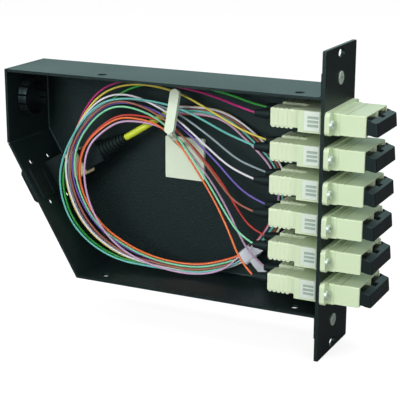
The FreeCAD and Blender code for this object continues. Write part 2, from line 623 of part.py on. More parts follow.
def make_blank_plug():
    """Snap-in blank in the near port: rounded head outside, stepped tongue inside."""
    body = wall_body("blank_plug", "dims.port_near")
    head = new_sketch(body, "head", "YZ_Plane")
    centred(head, "dims.port_wide + 3.4", "dims.port_tall + 1.6")
    cover = grow(body, head, "dims.blank_proud", reverse=True)
    cover = blend(body, cover, "2.6", lambda e: along(e, 0))
    blend(body, cover, "1.2", lambda e: close(e.CenterOfMass.x, -D["blank_proud"]))
    tongue = new_sketch(body, "tongue", "YZ_Plane")
    centred(tongue, "dims.port_wide - 0.2", "dims.port_tall - 0.2")
    grow(body, tongue, "dims.sheet + 1.0")
    dish = new_sketch(body, "dish", "YZ_Plane", "dims.sheet + 1.0")
    centred(dish, "dims.port_wide - 1.8", "dims.port_tall - 1.8")
    cut(body, dish, "0.8")


def make_trunk_adapter():
    """Through adapter for the multi-fibre plug, shouldered outside the wall."""
    body = wall_body("trunk_adapter", "dims.port_far")
    outside = new_sketch(body, "outside", "YZ_Plane", "-dims.trunk_adapter_out")
    centred(outside, "dims.port_wide - 0.6", "dims.port_tall - 0.8")
    grow(body, outside, "dims.trunk_adapter_out")
    shoulder = new_sketch(body, "shoulder", "YZ_Plane")
    centred(shoulder, "dims.port_wide + 1.2", "dims.port_tall + 1.4")
    rim = grow(body, shoulder, "1.5", reverse=True)
    blend(body, rim, "1.0", lambda e: along(e, 0) and abs(e.CenterOfMass.y) > D["port_wide"] / 2 + 0.3)
    inside = new_sketch(body, "inside", "YZ_Plane")
    centred(inside, "dims.port_wide - 0.2", "dims.port_tall - 0.2")
    grow(body, inside, "dims.trunk_adapter_in")
    for level, reverse in (("dims.trunk_adapter_in", False), ("-dims.trunk_adapter_out", True)):
        mouth = new_sketch(body, "mouth", "YZ_Plane", level)
        centred(mouth, "8.2", "13.0")
        cut(body, mouth, "9.6", reverse=reverse)


def make_trunk_cap():
    """Dust cap on the outer port of the trunk adapter."""
    body = wall_body("trunk_cap", "dims.port_far")
    head = new_sketch(body, "head", "YZ_Plane", "-11.3")
    centred(head, "9.4", "14.0")
    grip = grow(body, head, "2.4", reverse=True)
    blend(body, grip, "1.0", lambda e: along(e, 0) or close(e.CenterOfMass.x, -13.7))
    stem = new_sketch(body, "stem", "YZ_Plane", "-11.3")
    centred(stem, "7.4", "12.2")
    grow(body, stem, "6")


def make_trunk_plug():
    """Multi-fibre plug: sprung coupling sleeve, inner housing and ribbed boot."""
    housing = wall_body("trunk_plug_housing", "dims.port_far")
    core = new_sketch(housing, "core", "YZ_Plane", "2.0")
    centred(core, "5.6", "9.6")
    grow(housing, core, "27")
    collar = new_sketch(housing, "collar", "YZ_Plane", "21")
    centred(collar, "6.8", "10.0")
    rear = grow(housing, collar, "8")
    blend(housing, rear, "0.8", lambda e: along(e, 0) and abs(e.CenterOfMass.z) > 4.9)

    sleeve = wall_body("trunk_plug_sleeve", "dims.port_far")
    wrap = new_sketch(sleeve, "wrap", "YZ_Plane", "7.5")
    centred(wrap, "7.6", "12.4")
    tube = grow(sleeve, wrap, "10.7")
    blend(sleeve, tube, "1.6", lambda e: along(e, 0))
    hollow = new_sketch(sleeve, "hollow", "YZ_Plane", "7.5")
    centred(hollow, "6.2", "10.2")
    cut(sleeve, hollow, "10.7", reverse=True)

    boot = wall_body("trunk_plug_boot", "dims.port_far")
    profile = new_sketch(boot, "profile", "XZ_Plane")
    ribs = 8
    start, wide, narrow = 29.0, 4.2, 2.5
    length = D["trunk_boot_tip"] - start
    pitch = length / ribs
    edge = [("%.3f" % (start + length), "0"), ("%.3f" % start, "0")]
    for rib in range(ribs):
        radius = wide + (narrow - wide) * rib / (ribs - 1)
        left = start + rib * pitch
        edge += [("%.3f" % left, "%.3f" % radius), ("%.3f" % (left + 0.6 * pitch), "%.3f" % radius),
                 ("%.3f" % (left + 0.6 * pitch), "%.3f" % (radius - 0.7)),
                 ("%.3f" % (left + pitch), "%.3f" % (radius - 0.7))]
    outline(profile, edge)
    revolve(boot, profile)


# ---- pieces fixed to the sheet ----

def make_hole_plug():
    """Snap-in hole plug in the short end wall, with a ring of fingers inside."""
    body = new_body("hole_plug", x="-dims.tray_length", y="dims.plug_hole_across", z="dims.plug_hole_height")
    profile = new_sketch(body, "profile", "XZ_Plane")
    reach = "dims.sheet + 4.2"
    outline(profile, [("-1.8", "0"), ("-1.8", "9.6"), ("-1.2", "10.8"), ("0", "11.0"), ("0", "9.1"),
                      ("dims.sheet + 0.1", "9.1"), ("dims.sheet + 0.5", "9.5"), ("dims.sheet + 1.4", "9.1"),
                      (reach, "8.9"), (reach, "7.9"), ("0.4", "7.9"), ("0.4", "0")])
    revolve(body, profile)
    count = 14
    slit = new_sketch(body, "slit", "XZ_Plane")
    slit.AttachmentOffset = Placement(Vector(0, 0, 0), Rotation(Vector(1, 0, 0), 180 / count))
    rectangle(slit, "dims.sheet - 0.2", "dims.sheet + 5", "-0.45", "0.45")
    gap = cut(body, slit, "20", reverse=False)
    repeat(body, [gap], [("turn", "X_Axis", count)])


def make_cable_clip():
    """Adhesive base on the back sheet with a sprung arm that keeps the cords in."""
    body = new_body("cable_clip", x="-75.4", z="6.5")
    back = "dims.tray_far - dims.sheet"
    base = new_sketch(body, "base", "XZ_Plane", "-(%s)" % back)
    centred(base, "19", "19")
    plate = grow(body, base, "1.6")
    blend(body, plate, "0.6", lambda e: along(e, 1))
    strut = new_sketch(body, "strut", "YZ_Plane", "-0.9")
    outline(strut, [("14.8", "4.4"), ("14.8", "7.2"), ("4.6", "10.4"), ("2.2", "13.8"), ("0.6", "14.6"),
                    ("0.0", "12.4")])
    grow(body, strut, "2.4", symmetric=True)
    arm = new_sketch(body, "arm", "XZ_Plane")
    lean = Rotation(Vector(1, 0, 0), -12.0).multiply(Rotation(Vector(0, 0, 1), 90.0))
    arm.AttachmentOffset = Placement(Vector(-0.9, 15.3, -1.0), lean)
    oblong(arm, "21.1", "2.2", "16.7 / 2")
    grow(body, arm, "2.0", symmetric=True)


def make_bundle_wrap():
    """Clear tape round the cords with its tail stuck back on itself as a flag."""
    body = new_body("bundle_wrap", x="-42.5", y="12.95", z="-32.5", tilt=-44.0)
    wrap = new_sketch(body, "wrap", "YZ_Plane", "-3.6")
    centred(wrap, "6.4", "6.8")
    tube = grow(body, wrap, "7.2")
    tube = blend(body, tube, "1.4", lambda e: along(e, 0))
    hollow = new_sketch(body, "hollow", "YZ_Plane", "-3.6")
    centred(hollow, "6.1", "6.5")
    cut(body, hollow, "7.2", reverse=True)
    flag = new_sketch(body, "flag", "XZ_Plane", "3.2")
    outline(flag, [("-2.6", "-3.0"), ("3.0", "-3.0"), ("1.6", "-12.5"), ("-3.6", "-11.2")])
    grow(body, flag, "0.3", reverse=True)


# ---- cords ----

def cord_wire(points):
    """Straight runs joined by tangent arcs as large as the runs allow."""
    pieces = []
    radii = []
    here = points[0]
    for before, corner, after in zip(points, points[1:], points[2:]):
        back = (before - corner).normalize()
        on = (after - corner).normalize()
        half_turn = (math.pi - back.getAngle(on)) / 2
        reach = 0.45 * min(before.distanceToPoint(corner), after.distanceToPoint(corner))
        radius = reach / math.tan(half_turn)
        middle = corner + (back + on).normalize() * (radius / math.cos(half_turn) - radius)
        pieces.append(Part.LineSegment(here, corner + back * reach).toShape())
        pieces.append(Part.Arc(corner + back * reach, middle, corner + on * reach).toShape())
        here = corner + on * reach
        radii.append(radius)
    pieces.append(Part.LineSegment(here, points[-1]).toShape())
    return Part.Wire(pieces), radii


def make_cord(label, points, radius_name):
    """Round cord along a route, as a plain tube."""
    radius = D[radius_name]
    wire, radii = cord_wire(points)
    start = wire.OrderedVertexes[0].Point
    heading = points[1] - points[0]
    section = Part.Wire(Part.Circle(start, heading, radius).toShape())
    tube = wire.makePipeShell([section], True, True)
    cord = doc.addObject("Part::Feature", label)
    cord.Label = label
    cord.Shape = tube
    cord.Placement = Placement()
    parts.append(cord)
    expected = math.pi * radius ** 2 * wire.Length
    if abs(tube.Volume / expected - 1) > 0.01:
        raise RuntimeError("%s has volume %.1f, not %.1f" % (label, tube.Volume, expected))
    print("%s: length %.0f mm, bend radii %s" % (label, wire.Length, " ".join("%.0f" % r for r in radii)))


# Stations round the loop, each the outer edge of the bundle: x, y of depth row 0, z,
# direction towards the loop's middle in degrees, and the spacing of the depth rows.
LOOP = (
    (-98.0, 2.6, 43.0, -90, 1.10),
    (-114.7, -0.5, 34.9, -59, 1.10),
    (-125.9, -4.2, 10.6, 5, 1.10),
    (-129.9, -5.0, -7.3, 7, 1.10),
    (-123.7, -3.0, -27.3, 15, 1.10),
    (-106.0, 0.0, -40.3, 34, 1.10),
    (-84.5, 3.4, -42.9, 64, 1.05),
    (-65.0, 6.0, -43.7, 95, 1.05),
    (-52.0, 9.4, -40.4, 110, 1.02),
    (-44.0, 12.2, -36.4, 132, 1.00),
    (-38.2, 13.6, -31.0, 142, 1.00),
    (-27.6, 13.8, -20.4, 158, 1.00),
    (-23.4, 13.8, -4.6, 180, 1.00),
    (-28.4, 13.8, 10.0, -152, 1.00),
    (-38.4, 13.4, 20.4, -135, 1.00),
    (-52.6, 12.8, 29.6, -108, 1.00),
    (-66.4, 12.4, 31.6, -92, 1.00),
    (-79.8, 12.0, 30.3, -80, 1.00),
)

# Each cord: row and side of its plug, points from the plug to the clip, its depth row
# at each station of the loop, and its distance in from each station.
CORDS = {
    "rose": (0, "near", ((-39.9, -5.6, 36.6), (-49.6, -2.2, 38.4), (-61.0, 2.6, 39.6), (-77.8, 7.2, 40.4)),
             (2,) * 18,
             (0.4, 0.0, 1.0, 4.7, 5.9, 4.7, 2.4, 2.2, 2.2, 2.4, 2.4, 4.9, 4.0, 4.0, 4.4, 3.0, 2.6, 2.4)),
    "green": (0, "far", ((-39.4, 6.5, 36.0), (-49.0, 7.0, 38.6), (-61.5, 8.0, 40.4), (-78.4, 9.4, 41.8)),
              (3, 3, 3, 2.4) + (2,) * 14,
              (4.4, 7.8, 0.8, 0.2, 0.0, 0.0, 0.6, 0.9, 1.0, 1.2, 1.2, 1.8, 1.5, 1.5, 1.6, 1.4, 1.4, 1.2)),
    "turquoise": (1, "near", ((-39.7, -5.6, 23.0), (-48.6, -2.8, 24.8), (-61.5, 1.4, 28.7), (-77.0, 5.2, 32.4)),
                  (-1.3,) * 6 + (-1,) * 12,
                  (8.6, 7.5, 1.3, 1.2, 1.1, 1.0, 1.0, 0.9, 0.9, 1.6, 1.6, 3.6, 2.8, 2.8, 3.2, 2.0, 1.8, 1.6)),
    "yellow": (1, "far", ((-38.6, 6.6, 22.4), (-47.2, 7.0, 25.2), (-61.5, 7.8, 31.8), (-78.2, 8.8, 38.5)),
               (1,) * 18,
               (2.2, 2.2, 0.8, 3.5, 5.0, 3.6, 1.0, 0.6, 0.6, 0.5, 0.5, 1.2, 0.9, 0.9, 1.1, 0.5, 0.4, 0.4)),
    "white": (2, "near", ((-39.4, -5.7, 8.8), (-48.0, -3.0, 11.6), (-60.0, 2.0, 17.6), (-78.0, 6.4, 28.4)),
              (0,) * 18,
              (6.4, 5.6, 0.8, 4.7, 6.3, 5.0, 1.3, 0.6, 0.6, 0.4, 0.4, 0.6, 0.4, 0.4, 0.4, 0.4, 0.4, 0.4)),
    "slate": (2, "far", ((-39.0, 6.6, 8.6), (-47.4, 7.0, 11.4), (-60.6, 7.8, 20.2), (-78.4, 8.6, 29.8)),
              (1,) * 18,
              (9.0, 7.7, 2.2, 5.0, 6.2, 4.8, 2.2, 1.8, 1.8, 1.6, 1.6, 3.0, 2.4, 2.4, 2.7, 1.6, 1.5, 1.4)),
    "brown": (3, "near", ((-39.4, -5.7, -5.4), (-47.0, -3.0, -1.2), (-58.0, 1.6, 8.2), (-78.2, 6.4, 24.8)),
              (0,) * 18,
              (9.6, 9.0, 3.6, 7.0, 9.0, 6.6, 2.6, 1.8, 1.8, 1.5, 1.5, 2.3, 1.8, 1.8, 2.1, 1.5, 1.5, 1.4)),
    "violet": (3, "far", ((-38.8, 6.6, -5.2), (-46.6, 7.0, -0.6), (-58.6, 7.8, 10.6), (-78.6, 8.6, 26.0)),
               (1,) * 18,
               (10.6, 9.3, 4.0, 7.5, 11.2, 9.4, 3.4, 3.0, 3.0, 2.7, 2.7, 4.8, 3.9, 3.9, 4.3, 2.7, 2.6, 2.4)),
    "mint": (4, "near", ((-39.2, -5.7, -18.4), (-46.8, -3.0, -11.0), (-57.6, 1.6, 0.8), (-78.4, 6.4, 23.4)),
             (0,) * 18,
             (12.0, 11.4, 6.6, 10.4, 12.6, 11.2, 3.9, 3.0, 3.0, 2.6, 2.6, 4.1, 3.3, 3.3, 3.8, 2.6, 2.6, 2.4)),
    "red": (4, "far", ((-39.0, 6.6, -19.0), (-45.4, 7.0, -12.2), (-56.0, 7.8, 3.0), (-78.8, 8.6, 23.6)),
            (1,) * 18,
            (16.6, 17.0, 11.3, 10.3, 13.2, 11.2, 4.6, 4.2, 4.2, 3.8, 3.8, 6.6, 5.4, 5.4, 5.9, 4.4, 3.7, 3.4)),
    "orange": (5, "near", ((-38.8, -5.7, -30.2), (-45.8, -3.0, -17.4), (-56.6, 1.9, -3.4), (-79.0, 6.8, 22.0)),
               (0,) * 18,
               (17.6, 18.0, 12.5, 11.9, 14.6, 12.8, 5.2, 4.2, 4.2, 3.7, 3.7, 5.9, 4.8, 4.8, 5.5, 3.7, 3.7, 3.4)),
    "lilac": (5, "far", ((-38.6, 6.4, -31.6), (-44.6, 6.4, -22.6), (-51.8, 7.0, -9.6), (-63.0, 7.8, 4.8),
                         (-79.8, 8.6, 21.4)),
              (-0.8, -1.6) + (-2.2,) * 7 + (-1.4,) + (-1.6,) * 8,
              (18.9, 19.7, 15.3, 16.8, 15.6, 9.6, 1.8, 0.4, 0.4, 3.8, 3.3, 5.6, 4.4, 4.4, 5.0, 3.3, 2.9, 2.7)),
}

TRUNK = ((-92.6, 8.0, 20.2), (-86.6, 10.2, 24.0), (-81.0, 12.0, 28.0))


def cord_points(row, side, lead, layers, insets):
    """Route of one cord from its boot, through the clip and once round the tray."""
    sign = dict(SIDES)[side]
    points = [Vector(-D["boot_tip"], sign * D["port_pitch"] / 2, (2.5 - row) * D["row_pitch"])]
    points += [Vector(*place) for place in lead]
    for (x, y, z, towards, pitch), layer, distance in zip(LOOP, layers, insets):
        angle = math.radians(towards)
        points.append(Vector(x + distance * math.cos(angle), y + layer * pitch, z + distance * math.sin(angle)))
    return points


def make_cords():
    for colour, route in CORDS.items():
        make_cord("fibre_" + colour, cord_points(*route), "tube_radius")
    axis = [port_point(D["trunk_boot_tip"] + further, D["port_far"]) for further in (0, 3.5)]
    make_cord("trunk_cable", axis + [Vector(*place) for place in TRUNK], "trunk_radius")


# ---- build, check and write ----

make_tray()
make_panel()
make_screws("panel_screws", ("0", "dims.flange_screw_height"), "2.7", "0.45", "1.5", "-4.5",
            "dims.panel_thick", "1.3", [("mirror", "XY_Plane")])
make_clinch_nuts()
for row in range(ROWS):
    make_adapter(row)
make_screws("adapter_screws", ("-dims.ear_screw_spacing / 2", "-2.5 * dims.row_pitch"), "2.05", "1.1", "1.0",
            "0", "dims.panel_thick + dims.flange_thick", "0.7",
            [("line", "XY_Plane", ROWS, "5 * dims.row_pitch"), ("mirror", "XZ_Plane")])
make_adapter_clips()
make_sleeves()
make_ferrules()
make_plug_frames()
for row in range(ROWS):
    for side, sign in SIDES:
        make_grip(row, side, sign)
    make_dust_cap(row)
for side, sign in SIDES:
    make_boots(side, sign)
make_blank_plug()
make_trunk_adapter()
make_trunk_cap()
make_trunk_plug()
make_hole_plug()
make_cable_clip()
make_bundle_wrap()
make_cords()
doc.recompute()

for item in doc.Objects:
    if "Invalid" in item.State or "Error" in item.State:
        raise RuntimeError("%s is %s" % (item.Label, item.State))
os.makedirs("parts", exist_ok=True)
for part in parts:
    if part.Shape.isNull() or not part.Shape.isValid():
        raise RuntimeError(part.Label + " has no valid shape")
    part.Shape.exportStep("parts/%s.step" % part.Label)
print("%d parts" % len(parts))
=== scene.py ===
"""Fibre cassette with its open side towards -Y and its front panel facing +X, in metres."""
import math

import bmesh
import bpy
import numpy as np
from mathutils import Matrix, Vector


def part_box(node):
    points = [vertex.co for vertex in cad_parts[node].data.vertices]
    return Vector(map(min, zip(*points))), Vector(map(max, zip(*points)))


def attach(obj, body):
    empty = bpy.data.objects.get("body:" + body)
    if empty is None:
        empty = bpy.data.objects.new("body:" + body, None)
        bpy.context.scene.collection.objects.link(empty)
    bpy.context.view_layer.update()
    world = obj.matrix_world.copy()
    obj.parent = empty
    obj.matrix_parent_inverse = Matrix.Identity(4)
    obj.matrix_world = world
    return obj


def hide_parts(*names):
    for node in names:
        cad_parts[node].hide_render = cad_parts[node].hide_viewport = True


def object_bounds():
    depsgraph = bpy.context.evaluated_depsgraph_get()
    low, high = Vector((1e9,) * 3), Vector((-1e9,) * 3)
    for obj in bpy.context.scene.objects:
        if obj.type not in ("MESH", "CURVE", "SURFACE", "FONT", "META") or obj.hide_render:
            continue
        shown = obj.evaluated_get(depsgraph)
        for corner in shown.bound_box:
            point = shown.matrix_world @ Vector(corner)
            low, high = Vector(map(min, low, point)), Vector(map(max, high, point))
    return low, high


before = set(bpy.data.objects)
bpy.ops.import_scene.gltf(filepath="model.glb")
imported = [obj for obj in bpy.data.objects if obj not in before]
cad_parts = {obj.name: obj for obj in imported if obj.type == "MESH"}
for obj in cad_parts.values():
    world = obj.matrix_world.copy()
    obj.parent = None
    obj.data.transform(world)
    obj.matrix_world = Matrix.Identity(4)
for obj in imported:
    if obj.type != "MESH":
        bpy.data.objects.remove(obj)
cad_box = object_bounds()


# ---- Folded tray and front panel ----
# The tray is folded from one blank of 1.2 mm steel sheet and the panel is a flat 1.5 mm
# plate. Both are sprayed with black powder and baked, which leaves a fine, pebbled skin.

def tone(red, green, blue):
    """Linear colour of an 8-bit display colour."""
    levels = np.array([red, green, blue]) / 255.0
    linear = np.where(levels <= 0.04045, levels / 12.92, ((levels + 0.055) / 1.055) ** 2.4)
    return (*linear.tolist(), 1.0)


def build_skin_group():
    """Grain of a surface: fine noise for its bumps, broad noise for its colour and gloss.

    Colour goes from Colour to Second colour with the broad noise, roughness swings by
    Gloss swing each way about Roughness, and the normal is a bump of the fine noise.
    """
    group = bpy.data.node_groups.new("surface_skin", "ShaderNodeTree")
    side = group.interface
    for name, kind, value in (
            ("Colour", "NodeSocketColor", (0.5, 0.5, 0.5, 1)),
            ("Second colour", "NodeSocketColor", (0.4, 0.4, 0.4, 1)),
            ("Roughness", "NodeSocketFloat", 0.5), ("Gloss swing", "NodeSocketFloat", 0.05),
            ("Grain per metre", "NodeSocketFloat", 2000.0),
            ("Patches per metre", "NodeSocketFloat", 60.0),
            ("Bump", "NodeSocketFloat", 0.2), ("Grain height", "NodeSocketFloat", 0.00005)):
        side.new_socket(name, in_out="INPUT", socket_type=kind).default_value = value
    for name, kind in (("Colour", "NodeSocketColor"), ("Roughness", "NodeSocketFloat"),
                       ("Normal", "NodeSocketVector")):
        side.new_socket(name, in_out="OUTPUT", socket_type=kind)
    nodes, links = group.nodes, group.links
    given = nodes.new("NodeGroupInput")
    result = nodes.new("NodeGroupOutput")
    place = nodes.new("ShaderNodeTexCoord")
    broad = nodes.new("ShaderNodeTexNoise")
    broad.inputs["Detail"].default_value = 4.0
    fine = nodes.new("ShaderNodeTexNoise")
    fine.inputs["Detail"].default_value = 3.0
    fine.inputs["Roughness"].default_value = 0.6
    mix = nodes.new("ShaderNodeMix")
    mix.data_type = "RGBA"
    swing = nodes.new("ShaderNodeMath")
    swing.operation = "MULTIPLY_ADD"
    centre = nodes.new("ShaderNodeMath")
    centre.operation = "SUBTRACT"
    centre.inputs[1].default_value = 0.5
    bump = nodes.new("ShaderNodeBump")
    links.new(place.outputs["Object"], broad.inputs["Vector"])
    links.new(place.outputs["Object"], fine.inputs["Vector"])
    links.new(given.outputs["Patches per metre"], broad.inputs["Scale"])
    links.new(given.outputs["Grain per metre"], fine.inputs["Scale"])
    links.new(broad.outputs["Fac"], mix.inputs[0])
    links.new(given.outputs["Colour"], mix.inputs[6])
    links.new(given.outputs["Second colour"], mix.inputs[7])
    links.new(broad.outputs["Fac"], centre.inputs[0])
    links.new(centre.outputs[0], swing.inputs[0])
    links.new(given.outputs["Gloss swing"], swing.inputs[1])
    links.new(given.outputs["Roughness"], swing.inputs[2])
    links.new(fine.outputs["Fac"], bump.inputs["Height"])
    links.new(given.outputs["Bump"], bump.inputs["Strength"])
    links.new(given.outputs["Grain height"], bump.inputs["Distance"])
    links.new(mix.outputs[2], result.inputs["Colour"])
    links.new(swing.outputs[0], result.inputs["Roughness"])
    links.new(bump.outputs["Normal"], result.inputs["Normal"])
    return group


surface_skin = build_skin_group()


def finish_of(name, colour, second, roughness, swing=0.1, grain=2000.0, patches=60.0,
              bump=0.2, height=0.00005, metallic=0.0, coat=0.0, specular=0.5,
              tint=(1.0, 1.0, 1.0, 1.0)):
    """Material whose colour, roughness and normal come from one surface_skin.

    Colour and second are its two tones, grain and patches are noise cycles per metre, and
    height is the grain's depth in metres.
    """
    material = bpy.data.materials.new(name)
    material.use_nodes = True
    nodes, links = material.node_tree.nodes, material.node_tree.links
    shader = nodes["Principled BSDF"]
    skin = nodes.new("ShaderNodeGroup")
    skin.node_tree = surface_skin
    for socket, value in (("Colour", colour), ("Second colour", second), ("Roughness", roughness),
                          ("Gloss swing", swing), ("Grain per metre", grain),
                          ("Patches per metre", patches), ("Bump", bump), ("Grain height", height)):
        skin.inputs[socket].default_value = value
    links.new(skin.outputs["Colour"], shader.inputs["Base Color"])
    links.new(skin.outputs["Roughness"], shader.inputs["Roughness"])
    links.new(skin.outputs["Normal"], shader.inputs["Normal"])
    shader.inputs["Metallic"].default_value = metallic
    shader.inputs["Coat Weight"].default_value = coat
    shader.inputs["Coat Roughness"].default_value = 0.25
    shader.inputs["Specular IOR Level"].default_value = specular
    shader.inputs["Specular Tint"].default_value = tint
    return material


def dress(material, *names):
    """Give CAD nodes their finish."""
    for name in names:
        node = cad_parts[name]
        node.data.materials.clear()
        node.data.materials.append(material)


cool_gloss = (0.66, 0.98, 0.96, 1.0)
black_coat = finish_of("black_powder_coat", tone(19, 27, 28), tone(14, 21, 22), 0.44,
                       swing=0.12, grain=1400.0, patches=25.0, bump=0.75, height=0.00022,
                       tint=cool_gloss)
dress(black_coat, "tray", "front_panel")


# ---- Screws and clinch nuts ----
# Pan-head screws with a cross recess, cold headed from steel wire and zinc plated. Two
# hold the panel to nuts pressed into the tray's flanges, and twelve hold the adapters.

zinc_plate = finish_of("bright_zinc", tone(222, 238, 226), tone(182, 198, 188), 0.40,
                       swing=0.15, grain=2500.0, patches=900.0, bump=0.10, metallic=0.5)
dress(zinc_plate, "panel_screws", "clinch_nuts", "adapter_screws")


# ---- Duplex adapters ----
# Each adapter is two halves of ivory PBT, moulded with a fine spark-eroded skin and
# welded together round the flange. It is pushed through its window and screwed by its ears.

ivory = finish_of("ivory_moulding", tone(208, 226, 191), tone(198, 216, 180), 0.46, swing=0.12,
                  grain=2600.0, patches=90.0, bump=0.12, specular=0.35)


def paint_step_shade(material, level, half_width, shade):
    """Painted shade: a dark hairline on the top faces where the step between the two halves throws
    a thin shadow.

    The shade replaces the colour where X is within half_width of level, times the upward
    part of the normal.
    """
    nodes, links = material.node_tree.nodes, material.node_tree.links
    shader = nodes["Principled BSDF"]
    place = nodes.new("ShaderNodeTexCoord")
    split = nodes.new("ShaderNodeSeparateXYZ")
    near = nodes.new("ShaderNodeMath")
    near.operation = "COMPARE"
    near.inputs[1].default_value = level
    near.inputs[2].default_value = half_width
    mix = nodes.new("ShaderNodeMix")
    mix.data_type = "RGBA"
    mix.inputs[7].default_value = shade
    skin_colour = shader.inputs["Base Color"].links[0].from_socket
    upward = nodes.new("ShaderNodeSeparateXYZ")
    both = nodes.new("ShaderNodeMath")
    both.operation = "MULTIPLY"
    both.use_clamp = True
    links.new(place.outputs["Object"], split.inputs[0])
    links.new(place.outputs["Normal"], upward.inputs[0])
    links.new(split.outputs["X"], near.inputs[0])
    links.new(near.outputs[0], both.inputs[0])
    links.new(upward.outputs["Z"], both.inputs[1])
    links.new(both.outputs[0], mix.inputs[0])
    links.new(skin_colour, mix.inputs[6])
    links.new(mix.outputs[2], shader.inputs["Base Color"])


rows = range(1, 7)
# Painted shade: a darker line across the adapters' top faces stands in for the shadow of the step
# between the halves.
paint_step_shade(ivory, level=0.0091, half_width=0.00016, shade=tone(150, 166, 124))
dress(ivory, *["adapter_%d" % row for row in rows])


# ---- Adapter side springs ----
# Bright strip-steel springs, stamped with a barred window and pushed over both sides of
# the adapters' rear halves.

spring_strip = finish_of("bright_strip", tone(242, 253, 241), tone(224, 238, 224), 0.40,
                         grain=1800.0, patches=300.0, bump=0.06, metallic=0.35)


def paint_window_shade(material, bars_out, shade):
    """Painted shade on the recessed sheet behind a spring's bars, which is all that has Y nearer 0
    than bars_out.
    """
    nodes, links = material.node_tree.nodes, material.node_tree.links
    shader = nodes["Principled BSDF"]
    place = nodes.new("ShaderNodeTexCoord")
    split = nodes.new("ShaderNodeSeparateXYZ")
    out = nodes.new("ShaderNodeMath")
    out.operation = "ABSOLUTE"
    behind = nodes.new("ShaderNodeMath")
    behind.operation = "LESS_THAN"
    behind.inputs[1].default_value = bars_out
    mix = nodes.new("ShaderNodeMix")
    mix.data_type = "RGBA"
    mix.inputs[7].default_value = shade
    skin_colour = shader.inputs["Base Color"].links[0].from_socket
    links.new(place.outputs["Object"], split.inputs[0])
    links.new(split.outputs["Y"], out.inputs[0])
    links.new(out.outputs[0], behind.inputs[0])
    links.new(behind.outputs[0], mix.inputs[0])
    links.new(skin_colour, mix.inputs[6])
    links.new(mix.outputs[2], shader.inputs["Base Color"])


spring_face = -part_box("adapter_clips")[0][1]
bar_relief = 0.0001
# Painted shade: the sheet behind the bars is darkened as though the window's recess lay in shadow.
paint_window_shade(spring_strip, bars_out=spring_face - bar_relief, shade=tone(172, 191, 180))
dress(spring_strip, "adapter_clips")


# ---- Ferrules and sleeves ----
# Ground white zirconia, seen only down the ports.

zirconia = finish_of("white_zirconia", tone(236, 236, 232), tone(228, 228, 224), 0.18,
                     patches=200.0, bump=0.02, coat=0.3)
dress(zirconia, "alignment_sleeves", "ferrules")


# ---- SC plugs ----
# Ivory push-pull grips over inner frames, moulded in the same plastic as the adapters,
# with soft black rubber boots snapped on behind.

plug_ivory = finish_of("ivory_grip", tone(217, 232, 200), tone(206, 221, 188), 0.48, swing=0.12,
                       grain=2200.0, patches=110.0, bump=0.16, specular=0.35)
dress(plug_ivory, "plug_frames",
      *["plug_grip_%d_%s" % (row, side) for row in rows for side in ("near", "far")])
boot_rubber = finish_of("boot_rubber", tone(19, 25, 26), tone(14, 19, 20), 0.62,
                        grain=3000.0, patches=150.0, specular=0.4, tint=cool_gloss)
dress(boot_rubber, "plug_boots_near", "plug_boots_far")


# ---- Dust caps ----
# One black polypropylene bar a row, moulded with a notch at its middle and pushed into
# both ports by hollow stems.

cap_black = finish_of("cap_black", tone(22, 28, 29), tone(17, 22, 23), 0.36, swing=0.15,
                      grain=1800.0, patches=120.0, bump=0.10, tint=cool_gloss)
dress(cap_black, *["dust_cap_%d" % row for row in rows])


# ---- Tubes ----
# Twelve 0.9 mm tight-buffer tubes in the standard colours, each from its boot up to the
# clip, once round the tray and through the tape to the trunk. Only clip and tape hold them.

# Stations round the loop, in millimetres: X, Y and Z of the bundle's outer edge, the
# direction inwards in degrees, and the pitch of its rows in depth.
LOOP = (
    (-98.0, 2.6, 43.0, -90, 1.10),
    (-114.7, -0.5, 34.9, -59, 1.10),
    (-125.9, -4.2, 10.6, 5, 1.10),
    (-129.9, -5.0, -7.3, 7, 1.10),
    (-123.7, -3.0, -27.3, 15, 1.10),
    (-106.0, 0.0, -40.3, 34, 1.10),
    (-84.5, 3.4, -42.9, 64, 1.05),
    (-65.0, 6.0, -43.7, 95, 1.05),
    (-52.0, 9.4, -40.4, 110, 1.02),
    (-44.0, 12.2, -36.4, 132, 1.00),
    (-38.2, 13.6, -31.0, 142, 1.00),
    (-27.6, 13.8, -20.4, 158, 1.00),
    (-23.4, 13.8, -4.6, 180, 1.00),
    (-28.4, 13.8, 10.0, -152, 1.00),
    (-38.4, 13.4, 20.4, -135, 1.00),
    (-52.6, 12.8, 29.6, -108, 1.00),
    (-66.4, 12.4, 31.6, -92, 1.00),
    (-79.8, 12.0, 30.3, -80, 1.00),
)

